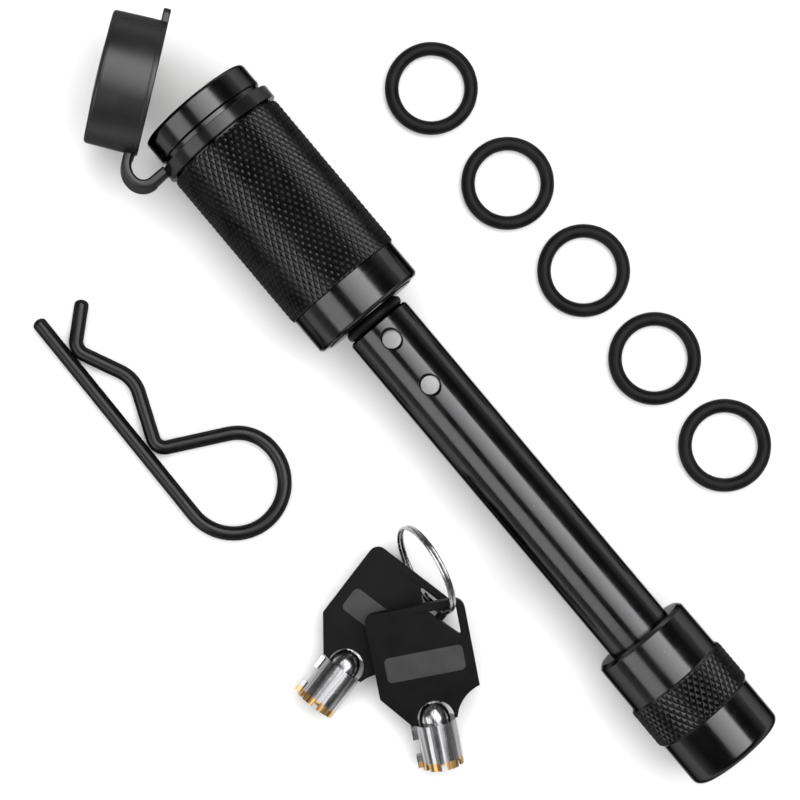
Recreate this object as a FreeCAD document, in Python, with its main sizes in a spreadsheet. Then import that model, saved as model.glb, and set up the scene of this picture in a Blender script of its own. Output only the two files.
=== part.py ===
import FreeCAD, Part
import Sketcher
import math
import os
import re

# Hitch pin lock kit: a 5/8 in pin with a lock head on a tip, a hinged dust cap, an R-clip,
# five spare O-rings and two tubular keys on a split ring.
# Frame: X runs along the pin from the plain knob to the lock head, Z is up, and the origin
# is on the pin axis half way along the exposed shank. Everything loose lies on one floor.

V = FreeCAD.Vector
X_AXIS = V(1, 0, 0)
Y_AXIS = V(0, 1, 0)
Z_AXIS = V(0, 0, 1)

doc = FreeCAD.newDocument("hitch_pin_lock")

# Driving dimensions, in millimetres and degrees.
SIZES = [
    # pin
    ("shank_radius", 7.9375),
    ("half_grip", 46.84),
    ("shoulder_place", 44.4),
    ("shoulder_chamfer", 0.5),
    ("tip_radius", 6.35),
    ("tip_place", 76.0),
    ("tip_chamfer", 1.0),
    ("seal_seat_radius", 5.05),
    ("seal_ring_radius", 6.25),
    ("seal_wire_radius", 1.2),
    ("clip_hole_radius", 2.1),
    ("clip_hole_mouth", 2.75),
    ("clip_hole_near", 39.5),
    ("clip_hole_far", 26.2),
    # knob
    ("knob_length", 34.72),
    ("knob_face_radius", 10.9),
    ("knob_front_radius", 11.75),
    ("knob_band_radius", 12.6),
    ("knob_band_start", 12.5),
    ("knob_band_end", 22.5),
    ("knob_rear_radius", 11.86),
    ("knob_corner", 1.8),
    ("spigot_radius", 5.5),
    ("spigot_length", 22.0),
    # lock head
    ("slide_gap", 0.3),
    ("collar_radius", 14.0),
    ("collar_face_radius", 11.7),
    ("collar_face_step", 0.25),
    ("collar_edge_radius", 13.4),
    ("collar_edge_length", 0.45),
    ("collar_length", 9.6),
    ("collar_spigot", 4.5),
    ("knurl_radius", 14.6),
    ("knurl_length", 41.2),
    ("knurl_chamfer", 0.4),
    ("groove_radius", 13.45),
    ("groove_length", 5.4),
    ("rim_radius", 14.0),
    ("head_end", 108.68),
    ("rim_corner", 1.0),
    ("cam_bore_radius", 12.5),
    ("web_start", 79.5),
    ("web_end", 81.6),
    ("shell_radius", 9.5),
    ("shell_end", 105.6),
    ("clip_groove_radius", 10.3),
    ("clip_groove_width", 1.1),
    # locking balls and their cam
    ("ball_radius", 2.2),
    ("ball_place", 70.0),
    ("ball_free_radius", 8.7),
    ("ball_travel", 1.4),
    ("ball_clearance", 0.15),
    ("carrier_radius", 8.4),
    ("carrier_end", 76.8),
    ("carrier_flange", 1.5),
    ("cam_radius", 12.2),
    ("cam_start", 63.2),
    ("cam_floor", 77.2),
    ("cam_end", 79.1),
    # key cylinder
    ("keyway_radius", 5.05),
    ("rotor_radius", 6.5),
    ("rotor_start", 91.0),
    ("rotor_length", 6.2),
    ("post_radius", 3.6),
    ("pin_circle_radius", 4.35),
    ("pin_hole_radius", 0.85),
    ("pin_radius", 0.75),
    ("bushing_length", 8.0),
    ("spindle_radius", 1.8),
    ("driver_length", 3.2),
    ("key_pin_length", 5.4),
    ("lug_way_radius", 6.1),
    ("lug_way_width", 2.2),
    ("blade_width", 5.0),
    ("blade_thick", 1.6),
    ("circlip_inner", 8.4),
    ("circlip_gap", 5.0),
    ("pin_end_gap", 0.05),
    # dust cap and its tether
    ("cap_ring_start", 98.3),
    ("cap_ring_length", 3.2),
    ("cap_ring_inner", 13.5),
    ("cap_ring_outer", 15.0),
    ("cap_mouth_radius", 15.45),
    ("cap_end_radius", 15.25),
    ("cap_length", 12.4),
    ("cap_inner_radius", 14.7),
    ("cap_crown", 0.5),
    ("cap_crown_radius", 209.0),
    ("cap_depth", 10.6),
    ("cap_corner", 0.8),
    ("cap_mouth_along", 117.08),
    ("cap_mouth_aside", 4.98),
    ("cap_mouth_lift", 0.99),
    ("cap_angle", 36.75),
    ("cap_tilt", 6.8),
    ("tab_reach", 18.2),
    ("tab_width", 7.0),
    ("tab_thick", 1.7),
    ("tether_width", 6.5),
    ("tether_thick", 2.2),
    # loose pieces on the floor
    ("floor_level", -15.5),
    ("clip_wire_radius", 1.65),
    ("o_ring_radius", 9.125),
    ("o_ring_wire", 1.575),
    # keys
    ("key_thick", 2.5),
    ("key_left", -11.7),
    ("key_right", 11.2),
    ("key_top", 27.5),
    ("key_foot_left", -5.8),
    ("key_foot_right", 4.85),
    ("key_chamfer_top", 7.5),
    ("key_scallop_top", 6.5),
    ("key_scallop_radius", 9.0),
    ("key_corner_left", 1.6),
    ("key_corner_right", 2.0),
    ("key_panel_left", -9.2),
    ("key_panel_right", 9.0),
    ("key_panel_low", 10.8),
    ("key_panel_high", 16.9),
    ("key_panel_depth", 0.3),
    ("key_window_radius", 4.2),
    ("key_window_rise", 0.7),
    ("key_hole_left", 2.5),
    ("key_hole_right", 9.2),
    ("key_hole_top", 25.7),
    ("key_hole_low", 18.6),
    ("tang_width", 5.0),
    ("tang_thick", 1.2),
    ("tang_depth", 10.5),
    ("tube_aside", -0.3),
    ("tube_radius", 4.75),
    ("tube_bore", 3.9),
    ("tube_length", 10.7),
    ("tube_depth", 7.5),
    ("dome_radius", 3.5),
    ("dome_height", 4.4),
    ("dome_flat", 1.2),
    ("notch_width", 1.2),
    ("notch_depth", 1.4),
    ("lug_reach", 5.8),
    ("lug_thick", 1.6),
    ("root_lug_start", 0.3),
    ("root_lug_end", 3.5),
    ("tip_lug_start", 7.3),
    ("tip_lug_end", 10.2),
    ("tang_gap", 0.3),
    # split ring
    ("split_radius", 10.77),
    ("split_wire_radius", 0.4),
    ("split_offset", 0.42),
]

sheet = doc.addObject("Spreadsheet::Sheet", "Sizes")
for row, (alias, number) in enumerate(SIZES, 1):
    sheet.set(f"A{row}", alias)
    sheet.set(f"B{row}", str(number))
    sheet.setAlias(f"B{row}", alias)
doc.recompute()
size = {alias: sheet.get(alias) for alias, number in SIZES}

sub_parts = []


def bound(text):
    """An expression in which every size name points at the sheet."""
    return re.sub(r"[a-z]+(_[a-z]+)*", lambda word: "Sizes." + word.group()
                  if word.group() in size else word.group(), text)


def worked_out(text):
    """The number that an expression over size names comes to."""
    return float(sheet.evalExpression(bound(text)))


def keep(thing, place=None):
    """Marks an object as a sub-part: its label names its node and its file."""
    thing.Label = thing.Name
    if place is not None:
        thing.Placement = place
    sub_parts.append(thing)
    return thing


def plane_of(body, role):
    return next(item for item in body.Origin.OriginFeatures if item.Role == role)


def tie(sketch, kind, geometry, point, expression):
    """Holds one coordinate of a sketch point at an expression's value."""
    value = worked_out(expression)
    if expression == "0":
        axis = -1 if kind == "DistanceY" else -2
        sketch.addConstraint(Sketcher.Constraint("PointOnObject", geometry, point, axis))
        return
    number = sketch.addConstraint(
        Sketcher.Constraint(kind, -1, 1, geometry, point, value))
    sketch.setExpression(f"Constraints[{number}]", bound(expression))


def outline(body, name, role, corners, lift=None):
    """A closed sketch through corners (x, y), or (x, y, radius, side) for an arc into it.

    side is 1 where the arc's centre lies left of the way from corner to corner.
    """
    sketch = body.newObject("Sketcher::SketchObject", f"{body.Name}_{name}")
    sketch.AttachmentSupport = [(plane_of(body, role), "")]
    sketch.MapMode = "FlatFace"
    if lift is not None:
        sketch.setExpression(".AttachmentOffset.Base.z", bound(lift))
    spots = [V(worked_out(corner[0]), worked_out(corner[1]), 0) for corner in corners]
    ends = []
    for number, corner in enumerate(corners):
        start = spots[number - 1]
        stop = spots[number]
        if len(corner) == 2:
            sketch.addGeometry(Part.LineSegment(start, stop), False)
            ends.append((1, 2))
            continue
        radius = worked_out(corner[2])
        side = corner[3]
        way = stop - start
        left = V(-way.y, way.x, 0).normalize()
        centre = (start + stop) * 0.5 + left * side * math.sqrt(radius ** 2 - way.Length ** 2 / 4)
        first = start if side > 0 else stop
        last = stop if side > 0 else start
        first_angle = math.atan2(first.y - centre.y, first.x - centre.x)
        last_angle = math.atan2(last.y - centre.y, last.x - centre.x)
        circle = Part.Circle(centre, Z_AXIS, radius)
        sketch.addGeometry(Part.ArcOfCircle(circle, first_angle, last_angle), False)
        ends.append((1, 2) if side > 0 else (2, 1))
    for number, corner in enumerate(corners):
        after = (number + 1) % len(corners)
        sketch.addConstraint(Sketcher.Constraint(
            "Coincident", number, ends[number][1], after, ends[after][0]))
        tie(sketch, "DistanceX", number, ends[number][1], corner[0])
        tie(sketch, "DistanceY", number, ends[number][1], corner[1])
        if len(corner) == 4:
            held = sketch.addConstraint(
                Sketcher.Constraint("Radius", number, worked_out(corner[2])))
            sketch.setExpression(f"Constraints[{held}]", bound(corner[2]))
    return sketch


def disc(body, name, role, across, up, radius, lift=None):
    """A sketch of one circle about the point (across, up)."""
    sketch = body.newObject("Sketcher::SketchObject", f"{body.Name}_{name}")
    sketch.AttachmentSupport = [(plane_of(body, role), "")]
    sketch.MapMode = "FlatFace"
    if lift is not None:
        sketch.setExpression(".AttachmentOffset.Base.z", bound(lift))
    centre = V(worked_out(across), worked_out(up), 0)
    sketch.addGeometry(Part.Circle(centre, Z_AXIS, worked_out(radius)), False)
    tie(sketch, "DistanceX", 0, 3, across)
    tie(sketch, "DistanceY", 0, 3, up)
    held = sketch.addConstraint(Sketcher.Constraint("Radius", 0, worked_out(radius)))
    sketch.setExpression(f"Constraints[{held}]", bound(radius))
    return sketch


def turn(body, sketch, kind="Revolution"):
    """Turns a sketch about the pin's axis, as a solid or as a groove."""
    feature = body.newObject(f"PartDesign::{kind}", f"{sketch.Name}_{kind.lower()}")
    feature.Profile = sketch
    feature.ReferenceAxis = (sketch, ["H_Axis"])
    feature.Angle = 360
    return feature


def pad(body, sketch, length, even=False):
    """Raises a sketch by a length, half to each side when even."""
    feature = body.newObject("PartDesign::Pad", f"{sketch.Name}_pad")
    feature.Profile = sketch
    feature.setExpression("Length", bound(length))
    feature.Midplane = even
    return feature


def cut(body, sketch, length=None, even=True, flip=False):
    """Cuts a sketch through everything both ways, or for a length, and checks that it cut."""
    doc.recompute()
    before = body.Shape.Volume
    feature = body.newObject("PartDesign::Pocket", f"{sketch.Name}_cut")
    feature.Profile = sketch
    if length is None:
        feature.Type = "ThroughAll"
    else:
        feature.setExpression("Length", bound(length))
    feature.Midplane = even
    feature.Reversed = flip
    doc.recompute()
    if not body.Shape.Volume < before - 1e-3:
        raise RuntimeError(f"{sketch.Name} cuts nothing")
    return feature


def around(body, feature, count):
    """Repeats a feature evenly about the body's X axis."""
    pattern = body.newObject("PartDesign::PolarPattern", f"{feature.Name}_round")
    pattern.Originals = [feature]
    pattern.Axis = (plane_of(body, "X_Axis"), [""])
    pattern.Angle = 360
    pattern.Occurrences = count
    body.Tip = pattern
    doc.recompute()
    return pattern


def new_body(name):
    return doc.addObject("PartDesign::Body", name)


def turned(name, corners):
    """A body turned about X from a half section of (x, radius) corners."""
    body = new_body(name)
    turn(body, outline(body, "section", "XY_Plane", corners))
    return body


def plain(name, shape, place=None):
    """A sub-part whose shape is made with Part's own functions."""
    thing = doc.addObject("Part::Feature", name)
    thing.Shape = shape
    return keep(thing, place)


def rounded_path(corners):
    """A flat wire of straight runs joined by tangent arcs; corners are (x, y, radius)."""
    spots = [V(corner[0], corner[1], 0) for corner in corners]
    edges = []
    here = spots[0]
    for number in range(1, len(spots) - 1):
        back = (spots[number - 1] - spots[number]).normalize()
        onward = (spots[number + 1] - spots[number]).normalize()
        half_angle = back.getAngle(onward) / 2
        radius = corners[number][2]
        setback = radius / math.tan(half_angle)
        middle = spots[number] + (back + onward).normalize() * (radius / math.sin(half_angle) - radius)
        start = spots[number] + back * setback
        stop = spots[number] + onward * setback
        if (start - here).Length > 1e-6:
            edges.append(Part.LineSegment(here, start).toShape())
        edges.append(Part.Arc(start, middle, stop).toShape())
        here = stop
    edges.append(Part.LineSegment(here, spots[-1]).toShape())
    return Part.Wire(edges)


def rod(path, radius):
    """A round rod along a wire, from the wire's first point."""
    first = path.OrderedEdges[0]
    start = first.valueAt(first.FirstParameter)
    way = first.tangentAt(first.FirstParameter)
    section = Part.Wire([Part.Circle(start, way, radius).toShape()])
    return path.makePipeShell([section], True, False)


# ---------------------------------------------------------------- the pin and its knob

shaft = turned("shaft", [
    ("-half_grip - spigot_length", "0"),
    ("-half_grip - spigot_length", "spigot_radius"),
    ("-half_grip", "spigot_radius"),
    ("-half_grip", "shank_radius"),
    ("shoulder_place - shoulder_chamfer", "shank_radius"),
    ("shoulder_place", "shank_radius - shoulder_chamfer"),
    ("shoulder_place", "seal_seat_radius"),
    ("half_grip", "seal_seat_radius"),
    ("half_grip", "tip_radius"),
    ("tip_place - tip_chamfer", "tip_radius"),
    ("tip_place", "tip_radius - tip_chamfer"),
    ("tip_place", "0"),
])
ball_groove = disc(shaft, "ball_groove", "XY_Plane", "ball_place",
                   "ball_free_radius - ball_travel", "ball_radius + ball_clearance")
turn(shaft, ball_groove, "Groove")
for spot in ("clip_hole_near", "clip_hole_far"):
    cut(shaft, disc(shaft, spot, "XY_Plane", spot, "0", "clip_hole_radius"))
    for side in (1, -1):
        mouth = shaft.newObject("PartDesign::SubtractiveCone", f"{spot}_mouth")
        mouth.setExpression("Radius1", bound("clip_hole_radius"))
        mouth.setExpression("Radius2", bound("clip_hole_mouth"))
        mouth.setExpression("Height", bound("clip_hole_mouth - clip_hole_radius"))
        depth = size["clip_hole_mouth"] - size["clip_hole_radius"]
        mouth.Placement = FreeCAD.Placement(
            V(size[spot], 0, side * (size["shank_radius"] - depth)),
            FreeCAD.Rotation(X_AXIS, 0 if side > 0 else 180))
keep(shaft)

end_knob = turned("end_knob", [
    ("-half_grip", "spigot_radius"),
    ("-half_grip", "knob_face_radius"),
    ("-half_grip - knob_front_radius + knob_face_radius", "knob_front_radius"),
    ("-half_grip - knob_band_start", "knob_rear_radius"),
    ("-half_grip - knob_band_start", "knob_band_radius - knurl_chamfer"),
    ("-half_grip - knob_band_start - knurl_chamfer", "knob_band_radius"),
    ("-half_grip - knob_band_end + knurl_chamfer", "knob_band_radius"),
    ("-half_grip - knob_band_end", "knob_band_radius - knurl_chamfer"),
    ("-half_grip - knob_band_end", "knob_rear_radius"),
    ("-half_grip - knob_length + knob_corner", "knob_rear_radius"),
    ("-half_grip - knob_length", "knob_rear_radius - knob_corner", "knob_corner", 1),
    ("-half_grip - knob_length", "0"),
    ("-half_grip - spigot_length", "0"),
    ("-half_grip - spigot_length", "spigot_radius"),
])
keep(end_knob)


def torus(name, ring_radius, wire_radius, place):
    """A sub-part that is a plain torus."""
    ring = doc.addObject("Part::Torus", name)
    ring.setExpression("Radius1", bound(ring_radius))
    ring.setExpression("Radius2", bound(wire_radius))
    return keep(ring, place)


ALONG_X = FreeCAD.Rotation(Y_AXIS, 90)
seal_place = V(size["half_grip"] - size["seal_wire_radius"], 0, 0)
torus("neck_seal", "seal_ring_radius", "seal_wire_radius", FreeCAD.Placement(seal_place, ALONG_X))

# ---------------------------------------------------------------- the lock head's shells

KNURL_START = "half_grip + collar_length"
KNURL_END = "half_grip + collar_length + knurl_length"
RIM_START = KNURL_END + " + groove_length"

keep(turned("base_collar", [
    ("half_grip", "tip_radius + slide_gap"),
    ("half_grip", "collar_face_radius"),
    ("half_grip + collar_face_step", "collar_face_radius"),
    ("half_grip + collar_edge_length", "collar_edge_radius"),
    ("half_grip + collar_edge_length + collar_radius - collar_edge_radius", "collar_radius"),
    (KNURL_START, "collar_radius"),
    (KNURL_START, "cam_bore_radius"),
    (KNURL_START + " + collar_spigot", "cam_bore_radius"),
    (KNURL_START + " + collar_spigot", "tip_radius + slide_gap"),
]))

keep(turned("housing", [
    (KNURL_START, "cam_bore_radius"),
    (KNURL_START, "knurl_radius - knurl_chamfer"),
    (KNURL_START + " + knurl_chamfer", "knurl_radius"),
    (KNURL_END + " - knurl_chamfer", "knurl_radius"),
    (KNURL_END, "knurl_radius - knurl_chamfer"),
    (KNURL_END, "groove_radius"),
    (RIM_START, "groove_radius"),
    (RIM_START + " + rim_radius - groove_radius", "rim_radius"),
    ("head_end - rim_corner", "rim_radius"),
    ("head_end", "rim_radius - rim_corner", "rim_corner", -1),
    ("head_end", "shell_radius + knurl_chamfer"),
    ("head_end - knurl_chamfer", "shell_radius"),
    ("shell_end + clip_groove_width", "shell_radius"),
    ("shell_end + clip_groove_width", "clip_groove_radius"),
    ("shell_end", "clip_groove_radius"),
    ("shell_end", "shell_radius"),
    ("web_end", "shell_radius"),
    ("web_end", "blade_width / 2 + slide_gap"),
    ("web_start", "blade_width / 2 + slide_gap"),
    ("web_start", "cam_bore_radius"),
]))

# ---------------------------------------------------------------- ball lock

carrier = turned("ball_carrier", [
    (KNURL_START + " + collar_spigot", "tip_radius + slide_gap"),
    (KNURL_START + " + collar_spigot", "cam_radius"),
    (KNURL_START + " + collar_spigot + carrier_flange", "cam_radius"),
    (KNURL_START + " + collar_spigot + carrier_flange", "carrier_radius"),
    ("carrier_end", "carrier_radius"),
    ("carrier_end", "tip_radius + slide_gap"),
])
ball_hole = disc(carrier, "ball_hole", "XY_Plane", "ball_place", "0", "ball_radius + ball_clearance")
around(carrier, cut(carrier, ball_hole, "carrier_radius + slide_gap", even=False, flip=True), 3)
keep(carrier)

BALL_COUNT = 3
FREE_REST = 16
CAM_RAMP = 90
for number in range(BALL_COUNT):
    angle = math.radians(number * 360 / BALL_COUNT)
    ball = doc.addObject("Part::Sphere", f"locking_ball_{number + 1}")
    ball.setExpression("Radius", bound("ball_radius"))
    reach = size["ball_free_radius"]
    keep(ball, FreeCAD.Placement(
        V(size["ball_place"], -reach * math.sin(angle), reach * math.cos(angle)), FreeCAD.Rotation()))


def cam_point(angle, radius):
    """A point of the cam's cross-section; angle 0 is straight up, growing about +X."""
    turned_by = math.radians(angle)
    return V(0, -radius * math.sin(turned_by), radius * math.cos(turned_by))


def cam_wire():
    """Three ramps of even slope, each with a rest for the free and for the locked ball."""
    free = size["ball_free_radius"] + size["ball_radius"] + size["ball_clearance"]
    locked = free - size["ball_travel"]
    sector = 360 / BALL_COUNT
    steps = 6
    edges = []
    for number in range(BALL_COUNT):
        top = number * sector
        climb = [cam_point(top - CAM_RAMP + CAM_RAMP * step / steps,
                           locked + (free - locked) * step / steps) for step in range(steps + 1)]
        curve = Part.BSplineCurve()
        curve.interpolate(climb)
        edges.append(curve.toShape())
        edges.append(Part.Arc(cam_point(top, free), cam_point(top + FREE_REST / 2, free),
                              cam_point(top + FREE_REST, free)).toShape())
        edges.append(Part.LineSegment(cam_point(top + FREE_REST, free),
                                      cam_point(top + FREE_REST, locked)).toShape())
        next_climb = top + sector - CAM_RAMP
        edges.append(Part.Arc(cam_point(top + FREE_REST, locked),
                              cam_point((top + FREE_REST + next_climb) / 2, locked),
                              cam_point(next_climb, locked)).toShape())
    return Part.Wire(edges)


def cam_shape():
    outside = Part.makeCylinder(size["cam_radius"], size["cam_end"] - size["cam_start"],
                                V(size["cam_start"], 0, 0), X_AXIS)
    hollow = Part.Face(cam_wire()).extrude(X_AXIS * (size["cam_floor"] - size["cam_start"]))
    hollow.translate(V(size["cam_start"], 0, 0))
    slot_half = V(0, size["blade_width"] / 2, size["blade_thick"] / 2)
    slot = Part.makeBox(size["cam_end"] - size["cam_floor"], size["blade_width"], size["blade_thick"],
                        V(size["cam_floor"], 0, 0) - slot_half)
    return outside.cut(hollow).cut(slot)


plain("cam_cup", cam_shape())

# ---------------------------------------------------------------- key cylinder

PIN_COUNT = 7
PIN_SPOTS = [V(0, size["pin_circle_radius"] * math.cos(math.tau * number / PIN_COUNT),
               size["pin_circle_radius"] * math.sin(math.tau * number / PIN_COUNT))
             for number in range(PIN_COUNT)]
ROTOR_END = "rotor_start + rotor_length"
BUSHING_START = "rotor_start - slide_gap - bushing_length"

shell = turned("lock_shell", [
    ("web_end", "rotor_radius + slide_gap"),
    ("web_end", "shell_radius"),
    ("shell_end", "shell_radius"),
    ("shell_end", "keyway_radius + knurl_chamfer"),
    ("shell_end - knurl_chamfer", "keyway_radius"),
    (ROTOR_END + " + slide_gap", "keyway_radius"),
    (ROTOR_END + " + slide_gap", "rotor_radius + slide_gap"),
])
cut(shell, outline(shell, "lug_way", "XY_Plane", [
    (ROTOR_END + " + slide_gap", "0"),
    ("shell_end + slide_gap", "0"),
    ("shell_end + slide_gap", "lug_way_radius"),
    (ROTOR_END + " + slide_gap", "lug_way_radius"),
]), "lug_way_width")
keep(shell)

rotor = turned("lock_rotor", [
    ("rotor_start", "spindle_radius"),
    ("rotor_start", "rotor_radius"),
    (ROTOR_END, "rotor_radius"),
    (ROTOR_END, "post_radius"),
    ("shell_end - knurl_chamfer", "post_radius"),
    ("shell_end", "post_radius - knurl_chamfer"),
    ("shell_end", "0"),
    (ROTOR_END, "0"),
    (ROTOR_END, "spindle_radius"),
])
around(rotor, cut(rotor, disc(rotor, "pin_hole", "YZ_Plane", "pin_circle_radius", "0",
                              "pin_hole_radius", "rotor_start"),
                  "rotor_length", even=False, flip=True), PIN_COUNT)
keep(rotor)

bushing = turned("pin_bushing", [
    (BUSHING_START, "spindle_radius + slide_gap"),
    (BUSHING_START, "rotor_radius + slide_gap"),
    ("rotor_start - slide_gap", "rotor_radius + slide_gap"),
    ("rotor_start - slide_gap", "spindle_radius + slide_gap"),
])
around(bushing, cut(bushing, disc(bushing, "pin_hole", "YZ_Plane", "pin_circle_radius", "0",
                                  "pin_hole_radius", "rotor_start - slide_gap"),
                    "bushing_length - slide_gap * 2", even=False), PIN_COUNT)
keep(bushing)

spindle = turned("spindle", [
    ("cam_end", "0"),
    ("cam_end", "spindle_radius"),
    (ROTOR_END, "spindle_radius"),
    (ROTOR_END, "0"),
])
pad(spindle, outline(spindle, "blade", "XY_Plane", [
    ("cam_floor", "-blade_width / 2"),
    ("cam_end", "-blade_width / 2"),
    ("cam_end", "blade_width / 2"),
    ("cam_floor", "blade_width / 2"),
]), "blade_thick", even=True)
keep(spindle)


def pin_set(name, start, length):
    """One pin in each of the seven holes, as a group of separate solids."""
    pins = [Part.makeCylinder(size["pin_radius"], length, spot + X_AXIS * start, X_AXIS)
            for spot in PIN_SPOTS]
    return plain(name, Part.makeCompound(pins))


driver_start = worked_out("rotor_start - slide_gap - driver_length - pin_end_gap")
pin_set("driver_pins", driver_start, size["driver_length"])
pin_set("key_pins", size["rotor_start"] + size["pin_end_gap"], size["key_pin_length"])

SPRING_WIRE = 0.14
SPRING_TURNS = 5
spring_start = size["rotor_start"] - size["slide_gap"] - size["bushing_length"] \
    + size["slide_gap"] * 2 + SPRING_WIRE + size["pin_end_gap"]
spring_length = driver_start - size["pin_end_gap"] - SPRING_WIRE - spring_start
coil_radius = size["pin_radius"] - SPRING_WIRE
coil = Part.makeHelix(spring_length / SPRING_TURNS, spring_length, coil_radius)
wire_section = Part.Wire([Part.Circle(V(coil_radius, 0, 0), Y_AXIS, SPRING_WIRE).toShape()])
spring = Part.Wire(coil).makePipeShell([wire_section], True, True)
springs = []
for spot in PIN_SPOTS:
    one = spring.copy()
    one.Placement = FreeCAD.Placement(spot + X_AXIS * spring_start, ALONG_X)
    springs.append(one)
plain("pin_springs", Part.makeCompound(springs))

circlip = turned("circlip", [
    ("shell_end", "circlip_inner"),
    ("shell_end", "clip_groove_radius - pin_end_gap"),
    ("shell_end + clip_groove_width - pin_end_gap * 2", "clip_groove_radius - pin_end_gap"),
    ("shell_end + clip_groove_width - pin_end_gap * 2", "circlip_inner"),
])
cut(circlip, outline(circlip, "gap", "YZ_Plane", [
    ("0", "-circlip_gap / 2"),
    ("clip_groove_radius + slide_gap", "-circlip_gap / 2"),
    ("clip_groove_radius + slide_gap", "circlip_gap / 2"),
    ("0", "circlip_gap / 2"),
]))
keep(circlip)

# ---------------------------------------------------------------- dust cap and tether

keep(turned("cap_ring", [
    ("cap_ring_start", "cap_ring_inner"),
    ("cap_ring_start", "cap_ring_outer"),
    ("cap_ring_start + cap_ring_length", "cap_ring_outer"),
    ("cap_ring_start + cap_ring_length", "cap_ring_inner"),
]))

cap = turned("dust_cap", [
    ("0", "cap_inner_radius"),
    ("0", "cap_mouth_radius"),
    ("cap_length - cap_corner", "cap_end_radius"),
    ("cap_length", "cap_end_radius - cap_corner", "cap_corner", -1),
    ("cap_length + cap_crown", "0", "cap_crown_radius", -1),
    ("cap_depth", "0"),
    ("cap_depth", "cap_inner_radius"),
])
pad(cap, outline(cap, "tab", "YZ_Plane", [
    ("-cap_inner_radius - slide_gap", "-tab_width / 2"),
    ("-cap_inner_radius - slide_gap", "tab_width / 2"),
    ("-tab_reach", "tab_width / 2"),
    ("-tab_reach", "-tab_width / 2"),
]), "tab_thick")
cap_turn = FreeCAD.Rotation(Z_AXIS, size["cap_angle"]).multiply(
    FreeCAD.Rotation(Y_AXIS, -size["cap_tilt"]))
keep(cap, FreeCAD.Placement(
    V(size["cap_mouth_along"], size["cap_mouth_aside"], size["cap_mouth_lift"]), cap_turn))

TETHER_PATH = [
    (101.15, 15.05, 0),
    (101.15, 21.35, 3.3),
    (107.3, 21.35, 4.8),
    (109.2, 18.8, 0),
]


def strap(path, thick, width):
    """A flat band on edge along a level path, centred on the pin's height."""
    first = path.OrderedEdges[0]
    start = first.valueAt(first.FirstParameter)
    corners = [start + V(side * thick / 2, 0, up * width / 2)
               for side, up in ((-1, -1), (1, -1), (1, 1), (-1, 1))]
    return path.makePipeShell([Part.makePolygon(corners + corners[:1])], True, False)


plain("tether", strap(rounded_path(TETHER_PATH), size["tether_thick"], size["tether_width"]))

# ---------------------------------------------------------------- R-clip and spare O-rings

R_CLIP_PATH = [
    (95.7, 59.5, 0),
    (26.25, 60.75, 11.8),
    (26.25, 37.05, 11.8),
    (44.5, 37.05, 10.3),
    (55.2, 57.5, 2.8),
    (71.03, 50.88, 8.0),
    (84.85, 57.2, 3.4),
    (92.6, 48.4, 0),
]
plain("r_clip", rod(rounded_path(R_CLIP_PATH), size["clip_wire_radius"]),
      FreeCAD.Placement(Z_AXIS * (size["floor_level"] + size["clip_wire_radius"]), FreeCAD.Rotation()))

O_RING_PLACES = [(78.2, -44.3), (50.2, -43.7), (23.6, -44.2), (-2.4, -43.7), (-28.05, -43.2)]
for number, (along, aside) in enumerate(O_RING_PLACES, 1):
    torus(f"o_ring_{number}", "o_ring_radius", "o_ring_wire", FreeCAD.Placement(
        V(along, aside, size["floor_level"] + size["o_ring_wire"]), FreeCAD.Rotation()))

# ---------------------------------------------------------------- keys on their split ring

# Each key's own frame: X to its right, Y from the foot of the head to its top, Z through it.
# A key is given by the foot's place, its heading and its slope towards the head's top.
KEYS = {
    "key_a": (V(-33.30, 47.79, 6.9), 241.0, 11.0),
    "key_b": (V(-10.90, 56.72, 5.0), 192.5, 0.0),
}


def key_place(name):
    spot, heading, slope = KEYS[name]
    level = V(spot.x, spot.y, spot.z + size["floor_level"])
    turned_by = FreeCAD.Rotation(Z_AXIS, heading).multiply(FreeCAD.Rotation(X_AXIS, slope))
    return FreeCAD.Placement(level, turned_by)


def key_head(name):
    head = new_body(f"{name}_head")
    pad(head, outline(head, "outline", "XY_Plane", [
        ("key_foot_left", "0"),
        ("key_foot_right", "0"),
        ("key_right", "key_scallop_top", "key_scallop_radius", -1),
        ("key_right", "key_top - key_corner_right"),
        ("key_right - key_corner_right", "key_top", "key_corner_right", 1),
        ("key_left + key_corner_left", "key_top"),
        ("key_left", "key_top - key_corner_left", "key_corner_left", 1),
        ("key_left", "key_chamfer_top"),
    ]), "key_thick", even=True)
    cut(head, disc(head, "window", "XY_Plane", "0", "key_window_rise", "key_window_radius"))
    cut(head, outline(head, "hole", "XY_Plane", [
        ("key_hole_left", "key_hole_top"),
        ("key_hole_right", "key_hole_top"),
        ("key_hole_right", "key_hole_low"),
    ]))
    panel = [
        ("key_panel_left", "key_panel_low"),
        ("key_panel_right", "key_panel_low"),
        ("key_panel_right", "key_panel_high"),
        ("key_panel_left", "key_panel_high"),
    ]
    cut(head, outline(head, "panel", "XY_Plane", panel, "key_thick / 2"),
        "key_panel_depth", even=False)
    cut(head, outline(head, "back_panel", "XY_Plane", panel, "-key_thick / 2"),
        "key_panel_depth", even=False, flip=True)
    cut(head, outline(head, "slot", "XY_Plane", [
        ("-tang_width / 2", "key_window_radius"),
        ("tang_width / 2", "key_window_radius"),
        ("tang_width / 2", "tang_depth"),
        ("-tang_width / 2", "tang_depth"),
    ]), "tang_thick")
    return keep(head, key_place(name))


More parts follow.
